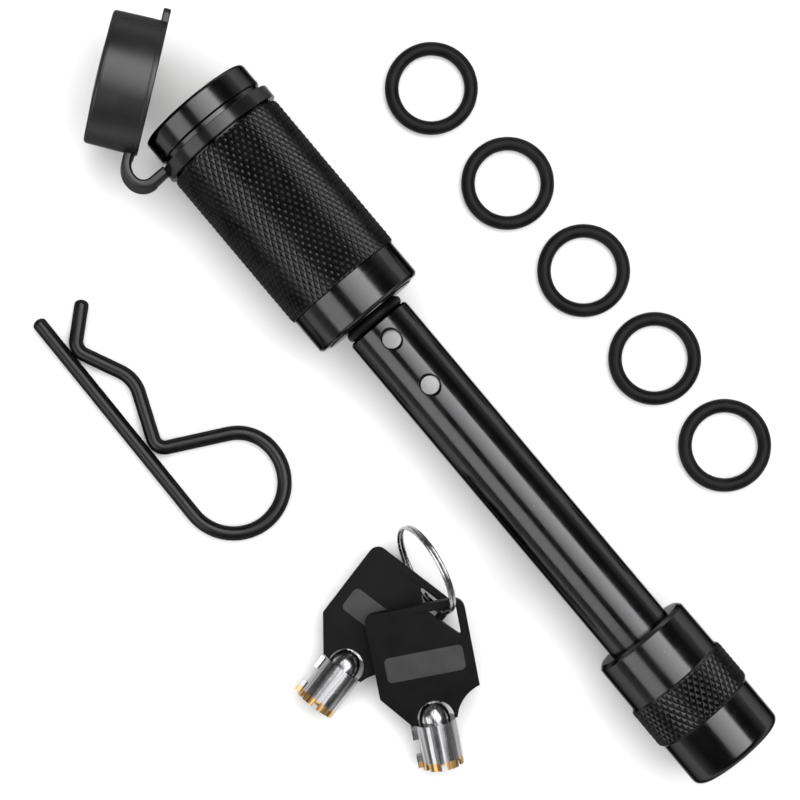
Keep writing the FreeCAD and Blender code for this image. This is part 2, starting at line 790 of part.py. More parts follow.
def key_tube(name):
    """The hollow barrel, in a frame whose X runs from the head to the tip."""
    tube = turned(f"{name}_tube", [
        ("-dome_height", "0"),
        ("-dome_height", "dome_flat"),
        ("0", "dome_radius", "dome_height", -1),
        ("0", "tube_radius"),
        ("tube_length", "tube_radius"),
        ("tube_length", "tube_bore"),
        ("tube_length - tube_depth", "tube_bore"),
        ("tube_length - tube_depth", "0"),
    ])
    notch = cut(tube, outline(tube, "notch", "XY_Plane", [
        ("tube_length - notch_depth", "-notch_width / 2"),
        ("tube_length + slide_gap", "-notch_width / 2"),
        ("tube_length + slide_gap", "notch_width / 2"),
        ("tube_length - notch_depth", "notch_width / 2"),
    ]), "tube_radius + slide_gap", even=False, flip=True)
    around(tube, notch, PIN_COUNT)
    for lug in ("root_lug", "tip_lug"):
        pad(tube, outline(tube, lug, "XY_Plane", [
            (f"{lug}_start", "-tube_bore - slide_gap"),
            (f"{lug}_end", "-tube_bore - slide_gap"),
            (f"{lug}_end", "-lug_reach"),
            (f"{lug}_start", "-lug_reach"),
        ]), "lug_thick", even=True)
    pad(tube, outline(tube, "tang", "XY_Plane", [
        ("-dome_height + tang_gap", "-tube_aside - tang_width / 2 + tang_gap"),
        ("-dome_height + tang_gap", "-tube_aside + tang_width / 2 - tang_gap"),
        ("-tang_depth", "-tube_aside + tang_width / 2 - tang_gap"),
        ("-tang_depth", "-tube_aside - tang_width / 2 + tang_gap"),
    ]), "tang_thick", even=True)
    to_key = FreeCAD.Placement(V(size["tube_aside"], 0, 0), FreeCAD.Rotation(Z_AXIS, -90))
    return keep(tube, key_place(name).multiply(to_key))


for key in KEYS:
    key_head(key)
    key_tube(key)

SPLIT_CENTRE = V(-5.33, 27.48, 11.88)
SPLIT_HEADING = -12.85
SPLIT_TILT = 70.7
WIRE_START = 119
CROSSING_START = 80


def split_ring_path():
    """Two flat turns side by side, joined by one short crossing, in the ring's own frame."""
    radius = size["split_radius"]
    offset = size["split_offset"]

    def spot(angle, up):
        turned_by = math.radians(angle)
        return V(radius * math.cos(turned_by), radius * math.sin(turned_by), up)

    crossing_angle = WIRE_START - CROSSING_START
    steps = 6
    crossing = []
    for step in range(steps + 1):
        share = step / steps
        rise = -math.cos(math.pi * share) * offset
        crossing.append(spot(CROSSING_START + crossing_angle * share, rise))
    middle_angle = (WIRE_START + CROSSING_START + 360) / 2
    curve = Part.BSplineCurve()
    way_in = V(-math.sin(math.radians(CROSSING_START)), math.cos(math.radians(CROSSING_START)), 0)
    way_out = V(-math.sin(math.radians(WIRE_START)), math.cos(math.radians(WIRE_START)), 0)
    curve.interpolate(Points=crossing, InitialTangent=way_in, FinalTangent=way_out)
    first = Part.Arc(spot(WIRE_START, -offset), spot(middle_angle, -offset),
                     spot(CROSSING_START, -offset)).toShape()
    second = Part.Arc(spot(WIRE_START, offset), spot(middle_angle, offset),
                      spot(CROSSING_START, offset)).toShape()
    return Part.Wire([first, curve.toShape(), second])


ring_turn = FreeCAD.Rotation(Z_AXIS, SPLIT_HEADING).multiply(FreeCAD.Rotation(X_AXIS, -SPLIT_TILT))
plain("split_ring", rod(split_ring_path(), size["split_wire_radius"]),
      FreeCAD.Placement(SPLIT_CENTRE + Z_AXIS * size["floor_level"], ring_turn))

# ---------------------------------------------------------------- checks and files

doc.recompute()
for thing in doc.Objects:
    if "Invalid" in thing.State or "Error" in thing.State:
        raise RuntimeError(f"{thing.Name} failed: {thing.State}")
for thing in sub_parts:
    if thing.Shape.isNull() or not thing.Shape.isValid():
        raise RuntimeError(f"{thing.Label} has no valid shape")
    if thing.Shape.Volume <= 0:
        raise RuntimeError(f"{thing.Label} has no volume")

os.makedirs("parts", exist_ok=True)
for thing in sub_parts:
    thing.Shape.exportStep(os.path.join("parts", thing.Label + ".step"))
    box = thing.Shape.BoundBox
    print(f"{thing.Label:16s} {thing.Shape.Volume:10.2f} mm3  {len(thing.Shape.Solids)} solid(s)"
          f"  x {box.XMin:.2f}..{box.XMax:.2f}  y {box.YMin:.2f}..{box.YMax:.2f}"
          f"  z {box.ZMin:.2f}..{box.ZMax:.2f}")
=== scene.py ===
import math
from collections import namedtuple

import bmesh
import bpy
from mathutils import Matrix, Vector


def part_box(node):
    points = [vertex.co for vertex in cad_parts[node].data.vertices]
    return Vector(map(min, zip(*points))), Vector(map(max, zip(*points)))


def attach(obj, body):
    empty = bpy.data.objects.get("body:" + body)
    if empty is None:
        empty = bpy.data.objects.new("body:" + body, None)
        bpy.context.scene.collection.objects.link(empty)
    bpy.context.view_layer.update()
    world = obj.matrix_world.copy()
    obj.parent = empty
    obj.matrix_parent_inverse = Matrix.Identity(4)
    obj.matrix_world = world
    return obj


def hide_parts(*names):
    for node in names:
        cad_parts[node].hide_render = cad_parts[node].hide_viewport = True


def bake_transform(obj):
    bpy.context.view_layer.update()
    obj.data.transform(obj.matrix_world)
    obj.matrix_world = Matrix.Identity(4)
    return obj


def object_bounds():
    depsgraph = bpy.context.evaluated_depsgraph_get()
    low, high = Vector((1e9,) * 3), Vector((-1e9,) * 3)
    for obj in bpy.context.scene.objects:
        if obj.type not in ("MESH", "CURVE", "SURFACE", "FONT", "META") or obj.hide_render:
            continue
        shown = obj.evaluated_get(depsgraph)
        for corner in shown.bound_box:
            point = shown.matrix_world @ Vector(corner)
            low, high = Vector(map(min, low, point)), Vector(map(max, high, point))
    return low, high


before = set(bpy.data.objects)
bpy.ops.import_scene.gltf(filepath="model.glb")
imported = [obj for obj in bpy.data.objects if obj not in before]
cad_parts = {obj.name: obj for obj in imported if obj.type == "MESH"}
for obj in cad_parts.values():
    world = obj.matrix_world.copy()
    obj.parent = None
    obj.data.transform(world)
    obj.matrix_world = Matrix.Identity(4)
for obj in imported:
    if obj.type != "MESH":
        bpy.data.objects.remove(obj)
cad_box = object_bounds()

# Sizes below are in millimetres, as in the design, and become metres where a mesh is made.
MM = 0.001
FLOOR = cad_box[0][2]


# ---------------------------------------------------------------- camera, light and floor

# The camera looks straight down; places here are in metres and lens sizes in millimetres.
CAMERA_PLACE = (0.02795, 0.00729, 0.607)
CAMERA_TURN = math.radians(230)
LENS = 121.5
SENSOR = 36

# The light overhead brightens towards -Y: each strip is (near y, far y, radiance).
OVERHEAD_STRIPS = (
    (0.2, 0.04, 2.6),
    (0.04, -0.14, 3.4),
    (-0.14, -0.33, 4.3),
    (-0.33, -0.54, 5.2),
    (-0.54, -0.76, 6.2),
)
OVERHEAD_MIDDLE_X = 0.03
OVERHEAD_HEIGHT = 1.0
OVERHEAD_LENGTH = 1.6

FLOOR_REACH = 1.3


def set_camera():
    data = bpy.data.cameras.new("camera")
    data.lens = LENS
    data.sensor_width = SENSOR
    camera = bpy.data.objects.new("camera", data)
    camera.location = CAMERA_PLACE
    camera.rotation_euler = (0, 0, CAMERA_TURN)
    bpy.context.scene.collection.objects.link(camera)
    bpy.context.scene.camera = camera
    bpy.context.scene.view_settings.view_transform = "Standard"


def panel_light(name, middle, across, along, size, radiance, mirrored=True):
    """A soft box: across and along are its edges' directions, and it shines on the object.

    One that isn't mirrored only fills: gloss doesn't show it.
    """
    data = bpy.data.lights.new(name, "AREA")
    data.shape = "RECTANGLE"
    data.size = size[0]
    data.size_y = size[1]
    data.energy = radiance * math.pi * size[0] * size[1]
    light = bpy.data.objects.new(name, data)
    across = Vector(across).normalized()
    along = Vector(along).normalized()
    out = across.cross(along)
    if out.dot(Vector(middle)) < 0:
        along = -along
        out = -out
    turned = Matrix((across, along, out)).transposed().to_4x4()
    light.matrix_world = Matrix.Translation(middle) @ turned
    light.visible_camera = False
    light.visible_glossy = mirrored
    bpy.context.scene.collection.objects.link(light)


def set_lights():
    for number, (near, far, radiance) in enumerate(OVERHEAD_STRIPS, 1):
        middle = (OVERHEAD_MIDDLE_X, (near + far) / 2, OVERHEAD_HEIGHT)
        panel_light(f"overhead_{number}", middle, (1, 0, 0), (0, 1, 0),
                    (OVERHEAD_LENGTH, near - far), radiance)
    panel_light("side", (0.205, 0.79, 0.685), (1, 0, 0), (0, 0.44, -0.51), (0.79, 0.67), 2.8)
    panel_light("fill", (0, 0, 2.5), (1, 0, 0), (0, 1, 0), (9.0, 9.0), 0.55, mirrored=False)


def set_world():
    """A dim studio, palest at the horizon and below it."""
    world = bpy.data.worlds.new("studio")
    world.use_nodes = True
    sky = world.node_tree.nodes["Background"]
    sky.inputs["Color"].default_value = (1.0, 1.0, 1.0, 1)
    tree = world.node_tree
    place = tree.nodes.new("ShaderNodeTexCoord")
    height = tree.nodes.new("ShaderNodeSeparateXYZ")
    fade = tree.nodes.new("ShaderNodeMapRange")
    for socket, value in (("From Min", 0.0), ("From Max", 0.4), ("To Min", 0.6), ("To Max", 0.07)):
        fade.inputs[socket].default_value = value
    tree.links.new(place.outputs["Generated"], height.inputs["Vector"])
    tree.links.new(height.outputs["Z"], fade.inputs["Value"])
    tree.links.new(fade.outputs["Result"], sky.inputs["Strength"])
    bpy.context.scene.world = world


def make_floor():
    shape = bmesh.new()
    bmesh.ops.create_grid(shape, x_segments=8, y_segments=8, size=FLOOR_REACH)
    mesh = bpy.data.meshes.new("floor")
    shape.to_mesh(mesh)
    shape.free()
    mesh.transform(Matrix.Translation((0, 0, FLOOR)))
    mesh.materials.append(floor_look())
    floor = bpy.data.objects.new("floor", mesh)
    bpy.context.scene.collection.objects.link(floor)


# ---------------------------------------------------------------- materials

class Look:
    """A node material while it is being wired up."""

    def __init__(self, name, **sockets):
        self.material = bpy.data.materials.new(name)
        self.material.use_nodes = True
        self.tree = self.material.node_tree
        self.shader = self.tree.nodes["Principled BSDF"]
        for socket, value in sockets.items():
            self.shader.inputs[socket.replace("_", " ")].default_value = value
        self.place = self.node("ShaderNodeTexCoord").outputs["Object"]
        self.surface = None

    def node(self, kind, **settings):
        made = self.tree.nodes.new(kind)
        for setting, value in settings.items():
            setattr(made, setting, value)
        return made

    def link(self, source, target):
        self.tree.links.new(source, target)

    def stretched(self, stretch):
        """Coordinates scaled by axis: a small share draws a texture out along that axis."""
        mapping = self.node("ShaderNodeMapping")
        mapping.inputs["Scale"].default_value = stretch
        self.link(self.place, mapping.inputs["Vector"])
        return mapping.outputs["Vector"]

    def noise(self, scale, detail=3.0, stretch=None):
        made = self.node("ShaderNodeTexNoise")
        made.inputs["Scale"].default_value = scale
        made.inputs["Detail"].default_value = detail
        self.link(self.place if stretch is None else self.stretched(stretch), made.inputs["Vector"])
        return made.outputs["Fac"]

    def streaks(self, way, side, scale):
        """Noise drawn out along a direction, as light and dark streaks along a barrel: painted reflection
        stripes.
        """
        turned = self.node("ShaderNodeCombineXYZ")
        up = way.cross(side).normalized()
        drawn_out = 0.03
        for axis, direction, share in (("X", way, drawn_out), ("Y", side, 1.0), ("Z", up, 1.0)):
            part = self.node("ShaderNodeVectorMath", operation="DOT_PRODUCT")
            self.link(self.place, part.inputs[0])
            part.inputs[1].default_value = direction * share
            self.link(part.outputs["Value"], turned.inputs[axis])
        made = self.node("ShaderNodeTexNoise")
        made.inputs["Scale"].default_value = scale
        made.inputs["Detail"].default_value = 2.0
        self.link(turned.outputs["Vector"], made.inputs["Vector"])
        return made.outputs["Fac"]

    def cells(self, scale):
        """The distance to the nearest of scattered points."""
        made = self.node("ShaderNodeTexVoronoi")
        made.inputs["Scale"].default_value = scale
        self.link(self.place, made.inputs["Vector"])
        return made.outputs["Distance"]

    def spread(self, source, low, high, start=0.35, stop=0.65):
        """The source's middle range, stretched to run from low to high."""
        made = self.node("ShaderNodeMapRange")
        for socket, value in (("From Min", start), ("From Max", stop), ("To Min", low), ("To Max", high)):
            made.inputs[socket].default_value = value
        self.link(source, made.inputs["Value"])
        return made.outputs["Result"]

    def sum(self, first, second):
        made = self.node("ShaderNodeMath", operation="ADD")
        self.link(first, made.inputs[0])
        self.link(second, made.inputs[1])
        return made.outputs["Value"]

    def blend(self, share, first, second):
        """A colour between two; each is an (r, g, b) or another node's output."""
        made = self.node("ShaderNodeMix", data_type="RGBA")
        self.link(share, made.inputs["Factor"])
        for socket, colour in (("A", first), ("B", second)):
            target = next(item for item in made.inputs if item.name == socket and item.type == "RGBA")
            if isinstance(colour, tuple):
                target.default_value = (*colour, 1)
            else:
                self.link(colour, target)
        return next(item for item in made.outputs if item.type == "RGBA")

    def colour(self, source):
        self.link(source, self.shader.inputs["Base Color"])

    def rough(self, source):
        self.link(source, self.shader.inputs["Roughness"])

    def bump(self, height, depth):
        """Adds relief: depth is in millimetres for a height that goes from 0 to 1."""
        made = self.node("ShaderNodeBump")
        made.inputs["Distance"].default_value = depth * MM
        self.link(height, made.inputs["Height"])
        if self.surface is not None:
            self.link(self.surface, made.inputs["Normal"])
        self.surface = made.outputs["Normal"]
        self.link(self.surface, self.shader.inputs["Normal"])


def coated_steel():
    """Black coating over turned steel: faint lathe lines, orange peel and a few pale specks."""
    look = Look("black_coated_steel", Metallic=1.0, Specular_Tint=(0.3, 0.3, 0.3, 1))
    turning = look.noise(900, 2, (1, 0.03, 0.03))
    blotch = look.noise(160, 4)
    speck = look.spread(look.cells(420), 1, 0, 0.03, 0.09)
    base = look.blend(blotch, (0.046, 0.046, 0.047), (0.054, 0.054, 0.055))
    look.colour(look.blend(speck, base, (0.075, 0.075, 0.077)))
    look.rough(look.sum(look.spread(blotch, 0.15, 0.2), look.spread(turning, -0.015, 0.015)))
    look.bump(turning, 0.003)
    look.bump(look.noise(1400, 2), 0.003)
    return look.material


def knurl_coat_painted_shade():
    """The same coating over the knurl, where the cut points leave it satin; its base colour is darker
    than the plain coat's, as painted shade of the knurl.
    """
    look = Look("black_coated_knurl_painted_shade", Metallic=1.0, Specular_Tint=(0.4, 0.4, 0.4, 1))
    blotch = look.noise(240, 4)
    # About half the plain coat's base colour: painted shade of the knurl's diamonds and grooves.
    look.colour(look.blend(blotch, (0.024, 0.024, 0.0245), (0.034, 0.034, 0.0345)))
    look.rough(look.spread(blotch, 0.26, 0.36))
    look.bump(look.noise(1900, 3), 0.01)
    return look.material


def band_rubber():
    """The moulded band round the head, rubbed smooth by the cap."""
    look = Look("band_rubber", Metallic=0.85, Specular_Tint=(0.35, 0.35, 0.35, 1))
    bloom = look.noise(150, 4)
    look.colour(look.blend(look.spread(bloom, 0, 1), (0.03, 0.03, 0.0305), (0.037, 0.037, 0.0375)))
    look.rough(look.spread(bloom, 0.15, 0.2))
    look.bump(look.noise(1500, 3), 0.005)
    return look.material


def black_wire():
    """Black coated spring wire, with drawing lines along the clip."""
    look = Look("black_wire", Metallic=0.9, Specular_Tint=(0.15, 0.15, 0.15, 1))
    drawn = look.noise(500, 3, (0.15, 1, 1))
    blotch = look.noise(220, 4)
    look.colour(look.blend(blotch, (0.022, 0.022, 0.0225), (0.031, 0.031, 0.0315)))
    look.rough(look.sum(look.spread(blotch, 0.24, 0.36), look.spread(drawn, -0.03, 0.03)))
    look.bump(drawn, 0.01)
    look.bump(look.noise(1800, 2), 0.006)
    return look.material


def seal_rubber():
    """Matt black rubber with a bloom."""
    look = Look("seal_rubber", Metallic=0.6, Specular_Tint=(0.3, 0.3, 0.3, 1))
    bloom = look.noise(260, 5)
    grain = look.noise(2600, 3)
    look.colour(look.blend(look.spread(bloom, 0, 1), (0.006, 0.006, 0.006), (0.011, 0.011, 0.0115)))
    look.rough(look.spread(bloom, 0.38, 0.52))
    look.bump(grain, 0.012)
    return look.material


def cap_rubber():
    """The dark moulded rubber of the cap and its strap: satin, fine grained, slightly uneven."""
    look = Look("cap_rubber", Metallic=0.85, Specular_Tint=(0.15, 0.15, 0.15, 1))
    bloom = look.noise(120, 5)
    grain = look.noise(2200, 3)
    look.colour(look.blend(look.spread(bloom, 0, 1), (0.04, 0.04, 0.0405), (0.048, 0.048, 0.0485)))
    look.rough(look.spread(bloom, 0.32, 0.39))
    look.bump(grain, 0.01)
    look.bump(look.noise(240, 3), 0.02)
    return look.material


def bare_steel():
    """Uncoated turned steel, for the works inside the head."""
    look = Look("bare_steel", Metallic=1.0)
    turning = look.noise(1100, 3, (1, 0.05, 0.05))
    look.colour(look.blend(look.noise(300, 4), (0.42, 0.42, 0.43), (0.6, 0.6, 0.62)))
    look.rough(look.spread(turning, 0.22, 0.4))
    look.bump(turning, 0.01)
    return look.material


def lock_brass():
    """Turned brass of the lock's cylinder, tarnished in patches."""
    look = Look("lock_brass", Metallic=1.0)
    turning = look.noise(1200, 3, (1, 0.06, 0.06))
    tarnish = look.noise(210, 5)
    look.colour(look.blend(look.spread(tarnish, 0, 1), (0.62, 0.44, 0.17), (0.42, 0.29, 0.11)))
    look.rough(look.sum(look.spread(turning, 0.2, 0.36), look.spread(tarnish, 0, 0.08)))
    look.bump(turning, 0.01)
    return look.material


def key_plastic():
    """Black moulded plastic with a pebbled skin."""
    look = Look("key_plastic", IOR=1.46, Specular_IOR_Level=0.1)
    pebble = look.cells(1900)
    cloud = look.noise(180, 4)
    look.colour(look.blend(look.spread(cloud, 0, 1), (0.0025, 0.0025, 0.0025), (0.004, 0.004, 0.004)))
    look.rough(look.spread(cloud, 0.5, 0.6))
    look.bump(pebble, 0.03)
    return look.material


def key_panel():
    """The grey blank panel of a key head."""
    look = Look("key_panel", IOR=1.46, Specular_IOR_Level=0.22)
    cloud = look.noise(240, 4)
    look.colour(look.blend(look.spread(cloud, 0, 1), (0.027, 0.027, 0.027), (0.034, 0.034, 0.034)))
    look.rough(look.spread(cloud, 0.48, 0.58))
    look.bump(look.cells(2600), 0.015)
    return look.material


def key_chrome(name, tip, way, reach):
    """Chrome plate over brass, which shows where the tip was cut; way points to the tip. The light and
    dark streaks along the barrel are painted reflection, in both metals.
    """
    look = Look(name, Metallic=1.0)
    along = look.node("ShaderNodeVectorMath", operation="DOT_PRODUCT")
    look.link(look.place, along.inputs[0])
    along.inputs[1].default_value = way
    edge = way.dot(tip)
    ragged = 0.12 * MM
    depth = look.sum(along.outputs["Value"], look.spread(look.noise(900, 3), -ragged, ragged))
    bare = look.spread(depth, 0, 1, edge - reach * MM - ragged, edge - reach * MM + ragged)
    wipe = look.noise(420, 4)
    side = way.cross(Vector((0, 0, 1))).normalized()
    # drawn holds light and dark streaks along the barrel, which the plate's and the brass's colours carry
    # as painted reflection stripes.
    drawn = look.streaks(way, side, 1500)
    plate = look.blend(look.spread(drawn, 0, 1), (0.15, 0.15, 0.155), (0.5, 0.5, 0.51))
    brass = look.blend(look.spread(drawn, 0, 1, 0.42, 0.58), (0.2, 0.1, 0.035), (0.7, 0.46, 0.2))
    look.colour(look.blend(bare, plate, brass))
    smooth = look.spread(wipe, 0.2, 0.28)
    look.rough(look.sum(smooth, look.spread(bare, 0, 0.14, 0, 1)))
    look.bump(look.noise(700, 3), 0.006)
    return look.material


def ring_steel():
    """Bright spring steel of the split ring."""
    look = Look("ring_steel", Metallic=1.0)
    drawn = look.noise(800, 3)
    look.colour(look.blend(look.spread(drawn, 0, 1), (0.3, 0.3, 0.31), (0.48, 0.48, 0.49)))
    look.rough(look.spread(drawn, 0.16, 0.3))
    look.bump(drawn, 0.008)
    return look.material


def floor_look():
    """Pale paper, hardly mottled."""
    look = Look("floor", Roughness=0.9)
    look.colour(look.blend(look.noise(3, 2), (0.7, 0.7, 0.7), (0.73, 0.73, 0.73)))
    look.shader.inputs["Specular IOR Level"].default_value = 0.1
    return look.material


# ---------------------------------------------------------------- mesh making

def piece(name, body, mesh, look, place=None, replaced=(), knurl=None):
    """Links a mesh as a finished piece: riding on its body and material.

    knurl is the material of the faces left flat.
    """
    if place is not None:
        mesh.transform(place)
    mesh.transform(Matrix.Scale(MM, 4))
    mesh.materials.clear()
    mesh.materials.append(look)
    if knurl is not None:
        mesh.materials.append(knurl)
        for face in mesh.polygons:
            face.material_index = 0 if face.use_smooth else 1
    made = bpy.data.objects.new(name, mesh)
    bpy.context.scene.collection.objects.link(made)
    if body is not None:
        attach(made, body)
    if replaced:
        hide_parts(*replaced)
    return made


# Points closer than this, in millimetres, are one.
WELD = 1e-5


def finished(shape, name, crease=32.0, flat=()):
    """The bmesh as a mesh, smooth except over its creases; flat holds the faces left flat."""
    bmesh.ops.remove_doubles(shape, verts=shape.verts, dist=WELD)
    bmesh.ops.recalc_face_normals(shape, faces=shape.faces)
    kept_flat = {face for face in flat if face.is_valid}
    limit = math.radians(crease)
    for face in shape.faces:
        face.smooth = face not in kept_flat
    for edge in shape.edges:
        edge.smooth = len(edge.link_faces) == 2 and edge.calc_face_angle(0) < limit
    mesh = bpy.data.meshes.new(name)
    shape.to_mesh(mesh)
    shape.free()
    return mesh


def filleted(corners, steps=5, closed=True):
    """A path of (x, y, radius) corners with its corners rounded."""
    points = []
    for number, (x, y, radius) in enumerate(corners):
        spot = Vector((x, y))
        ends = not closed and number in (0, len(corners) - 1)
        if ends or not radius:
            points.append(spot)
            continue
        back = (Vector(corners[number - 1][:2]) - spot).normalized()
        ahead = (Vector(corners[(number + 1) % len(corners)][:2]) - spot).normalized()
        half = back.angle(ahead) / 2
        start = spot + back * (radius / math.tan(half))
        stop = spot + ahead * (radius / math.tan(half))
        centre = spot + (back + ahead).normalized() * (radius / math.sin(half))
        sweep = (start - centre).angle_signed(stop - centre)
        for step in range(steps + 1):
            points.append(centre + Matrix.Rotation(-sweep * step / steps, 2) @ (start - centre))
    return points


# A diamond knurl on a wall from start to stop along the axis. tip is its outer radius, diamonds
# is how many go round, half_rows counts half diamonds along, and its ends are chamfered.
Knurl = namedtuple("Knurl", "start stop tip depth diamonds half_rows chamfer")

# A knurl's mesh has this many columns, and rows, across half a diamond.
FINE = 3
# How much of the way up its flanks a diamond rises before its top is cut flat.
BLUNT = 0.8
# Profile points further than this inside a knurl's chamfered ends belong to the bore.
KNURL_MARGIN = 0.2


def knurl_rings(knurl):
    """The rings of a knurl's mesh, each (along, radii)."""
    count = knurl.half_rows * FINE
    length = knurl.stop - knurl.start
    rings = []
    for row in range(count + 1):
        along = knurl.start + length * row / count
        from_end = min(row, count - row) / count * abs(length)
        top = knurl.tip - max(0.0, knurl.chamfer - from_end)
        radii = []
        for column in range(knurl.diamonds * 2 * FINE):
            waves = ((column + row) / (2 * FINE), (column - row) / (2 * FINE))
            rise = min(1 - abs(2 * (wave % 1) - 1) for wave in waves)
            out = knurl.tip - knurl.depth + knurl.depth * min(1, rise / BLUNT)
            radii.append(min(top, out))
        rings.append((along, radii))
    return rings


def lathed(name, corners, columns=192, knurl=None):
    """A closed profile of (along, out, rounding) corners turned round X.

    A knurl takes the place of its stretch of the profile, and sets the number of columns. Its
    grooves follow the mesh's own diagonals.
    """
    rings = [(point.x, point.y) for point in filleted(corners)]
    knurled = range(0)
    if knurl is not None:
        columns = knurl.diamonds * 2 * FINE
        inside = knurl.tip - knurl.depth - knurl.chamfer - KNURL_MARGIN
        length = knurl.stop - knurl.start
        first = next(number for number, (along, out) in enumerate(rings)
                     if abs(along - knurl.start) < 1e-6 and out > inside)
        knurled = range(first, first + knurl.half_rows * FINE)
        after = [(along, out) for along, out in rings[first:]
                 if (along - knurl.stop) * length > 1e-9 or out < inside]
        rings = rings[:first] + knurl_rings(knurl) + after
    shape = bmesh.new()
    loops = []
    for along, out in rings:
        loop = []
        for column in range(columns):
            angle = math.tau * column / columns
            reach = out[column] if isinstance(out, list) else out
            loop.append(shape.verts.new((along, reach * math.cos(angle), reach * math.sin(angle))))
        loops.append(loop)
    flat = []
    for row, here in enumerate(loops):
        there = loops[(row + 1) % len(loops)]
        for column in range(columns):
            after = (column + 1) % columns
            a, b, c, d = here[column], here[after], there[after], there[column]
            if row not in knurled:
                shape.faces.new((a, b, c, d))
                continue
            cell = (row - knurled.start) // FINE + column // FINE
            halves = ((a, b, c), (a, c, d)) if cell % 2 == 0 else ((a, b, d), (b, c, d))
            flat += [shape.faces.new(half) for half in halves]
    return finished(shape, name, flat=flat)


def plate(name, outlines, thick, edge):
    """A flat plate with soft edges: the first outline is its rim and the others are holes."""
    curve = bpy.data.curves.new(name, "CURVE")
    curve.dimensions = "2D"
    curve.fill_mode = "BOTH"
    curve.extrude = thick / 2 - edge
    curve.bevel_depth = edge
    curve.bevel_resolution = 3
    curve.offset = -edge
    for outline in outlines:
        spline = curve.splines.new("POLY")
        spline.points.add(len(outline) - 1)
        for point, (x, y) in zip(spline.points, outline):
            point.co = (x, y, 0, 1)
        spline.use_cyclic_u = True
    holder = bpy.data.objects.new(name, curve)
    mesh = bpy.data.meshes.new_from_object(holder)
    bpy.data.objects.remove(holder)
    bpy.data.curves.remove(curve)
    shape = bmesh.new()
    shape.from_mesh(mesh)
    bpy.data.meshes.remove(mesh)
    return finished(shape, name)


def joined(name, meshes):
    """One mesh out of several."""
    shape = bmesh.new()
    for mesh in meshes:
        shape.from_mesh(mesh)
        bpy.data.meshes.remove(mesh)
    made = bpy.data.meshes.new(name)
    shape.to_mesh(made)
    shape.free()
    return made


def carved(mesh, cutters):
    """The mesh with each cutter's solid taken out of it."""
    body = bpy.data.objects.new("carving", mesh)
    bpy.context.scene.collection.objects.link(body)
    tools = []
    for cutter in cutters:
        tool = bpy.data.objects.new("cutter", cutter)
        bpy.context.scene.collection.objects.link(tool)
        modifier = body.modifiers.new("cut", "BOOLEAN")
        modifier.operation = "DIFFERENCE"
        modifier.solver = "EXACT"
        modifier.object = tool
        tools.append(tool)
    bpy.context.view_layer.update()
    seen = body.evaluated_get(bpy.context.evaluated_depsgraph_get())
    result = bpy.data.meshes.new_from_object(seen)
    for thing in (body, *tools):
        bpy.data.objects.remove(thing)
    return result


def skin(shape, rings):
    """Faces between neighbouring rings, and over the first and last."""
    for here, there in zip(rings, rings[1:]):
        for turn in range(len(here)):
            after = (turn + 1) % len(here)
            shape.faces.new((here[turn], here[after], there[after], there[turn]))
    shape.faces.new(rings[0])
    shape.faces.new(rings[-1])


# The domed end of a rod: its rings, and its length as a share of the rod's radius.
DOME_RINGS = 6
DOME_LENGTH = 0.7


def dome(end, way, radius):
    """(place, share of the radius) of a rod end's rings, from its full section to its tip."""
    rings = []
    for step in range(1, DOME_RINGS + 1):
        bend = math.pi / 2 * step / DOME_RINGS
        place = end + way * radius * DOME_LENGTH * math.sin(bend)
        rings.append((place, max(math.cos(bend), 1e-3)))
    return rings


def tube(name, path, radius, around=28):
    """A round rod along a level path of 3-D points, with domed ends."""
    back = (path[0] - path[1]).normalized()
    ahead = (path[-1] - path[-2]).normalized()
    spots = [(place, -back, share) for place, share in reversed(dome(path[0], back, radius))]
    for number, place in enumerate(path):
        before = path[max(number - 1, 0)]
        after = path[min(number + 1, len(path) - 1)]
        spots.append((place, (after - before).normalized(), 1.0))
    spots += [(place, ahead, share) for place, share in dome(path[-1], ahead, radius)]
    shape = bmesh.new()
    rings = []
    for place, way, share in spots:
        side = way.cross(Vector((0, 0, 1))).normalized()
        up = side.cross(way)
        ring = []
        for turn in range(around):
            angle = math.tau * turn / around
            out = side * math.cos(angle) + up * math.sin(angle)
            ring.append(shape.verts.new(place + out * radius * share))
        rings.append(ring)
    skin(shape, rings)
    return finished(shape, name, crease=60)


# ---------------------------------------------------------------- the pin's knob and lock head

COAT = coated_steel()
KNURL_COAT_PAINTED_SHADE = knurl_coat_painted_shade()
CAP_RUBBER = cap_rubber()


def span(node):
    """Where a node starts and stops along the pin's axis."""
    low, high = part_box(node)
    return low[0] / MM, high[0] / MM


# Radii that neighbouring parts of the head share.
HEAD_INSIDE = 12.5
PIN_HOLE = 6.65
LOCK_HOLE = 9.5


def make_knob():
    """The knob on the pin's end, in section: bored from its face, with a raised knurl."""
    rear, face = span("end_knob")
    wall = 11.86
    band_root = 12.2
    bore = 5.5
    bore_end = face - 22
    band_start = face - 12.5
    band_stop = face - 22.5
    corners = [
        (face, bore, 0), (face, 10.9, 0.1), (face - 0.85, 11.75, 0.2),
        (band_start + 0.35, wall, 0.15), (band_start, band_root, 0),
        (band_stop, band_root, 0), (band_stop - 0.35, wall, 0.15),
        (rear, wall, 1.8), (rear, 0, 0), (bore_end, 0, 0), (bore_end, bore, 0),
    ]
    band = Knurl(start=band_start, stop=band_stop, tip=12.6, depth=0.36, diamonds=51, half_rows=8,
                 chamfer=0.4)
    mesh = lathed("knob", corners, knurl=band)
    piece("knob", "root", mesh, COAT, replaced=("end_knob",), knurl=KNURL_COAT_PAINTED_SHADE)


